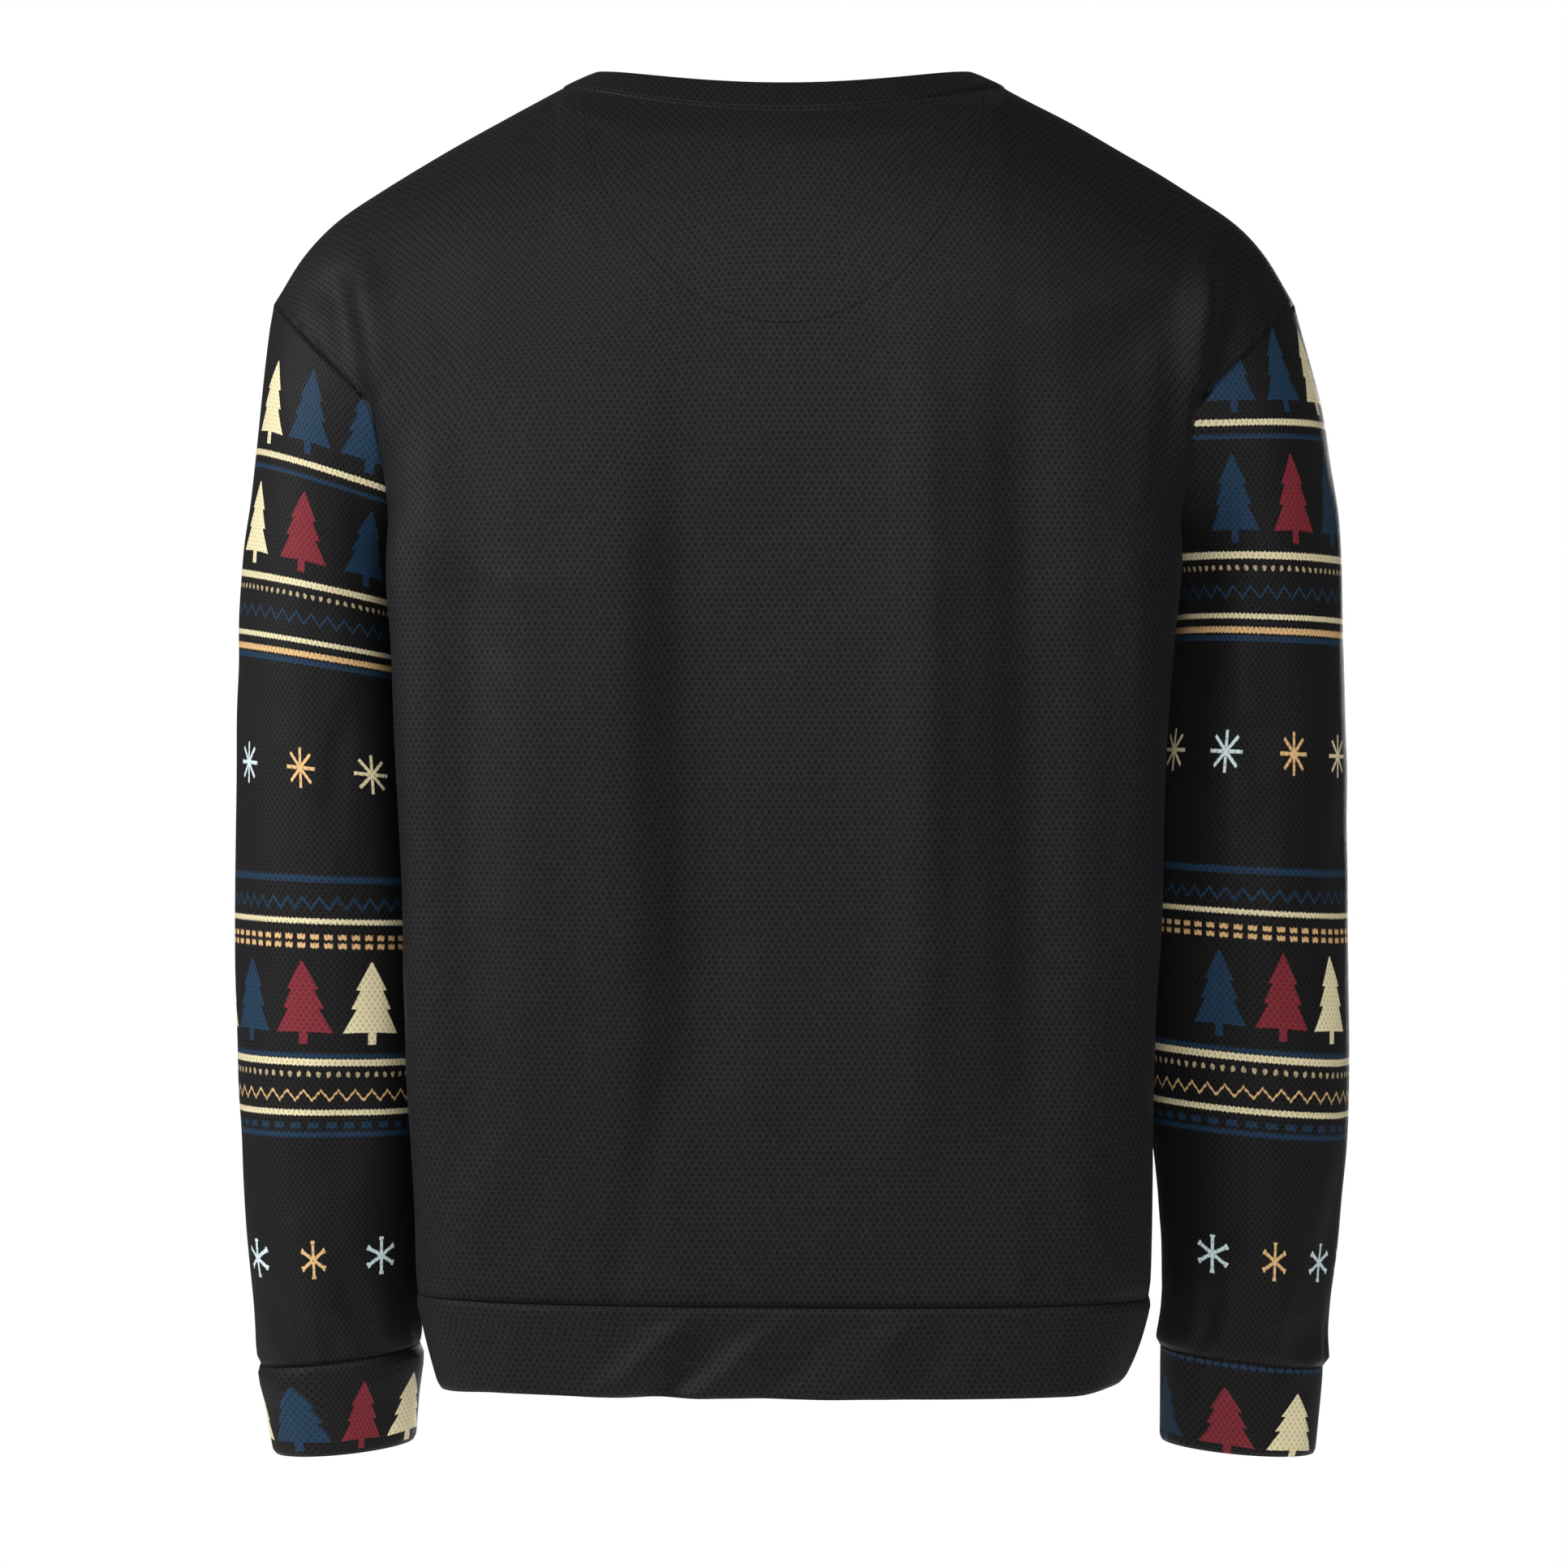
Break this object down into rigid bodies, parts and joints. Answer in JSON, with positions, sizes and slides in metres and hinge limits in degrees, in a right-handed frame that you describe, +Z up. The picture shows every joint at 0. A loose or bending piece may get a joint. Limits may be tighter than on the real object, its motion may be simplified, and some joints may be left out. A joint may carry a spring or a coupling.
{
  "type": "christmas sweatshirt",
  "caption": "Crew-neck winter sweatshirt with long set-in sleeves, knitted-look holiday bands on the sleeves, and banded hem, cuffs and neck, standing open as if worn.",
  "frame": {"origin": "middle of the neck base, level with the tops of the shoulder seams at the neck", "axes": "+Z up the body from the hem to the neck, +Y towards the back, -Y towards the front, +X towards the wearer's left"},
  "size_m": [0.6118, 0.2283, 0.7557],
  "materials": {
    "body_cloth": "matt black knit with a fine mesh pattern",
    "sleeve_cloth": "matt black knit printed with holiday bands"
  },
  "bodies": {
    "root": {"back_panel": "body_cloth", "front_panel": "body_cloth", "half_moon_facing": "body_cloth", "left_sleeve": "sleeve_cloth", "right_sleeve": "sleeve_cloth", "left_cuff": "sleeve_cloth", "right_cuff": "sleeve_cloth", "hem_band": "body_cloth", "neckband": "body_cloth"}
  },
  "joints": []
}
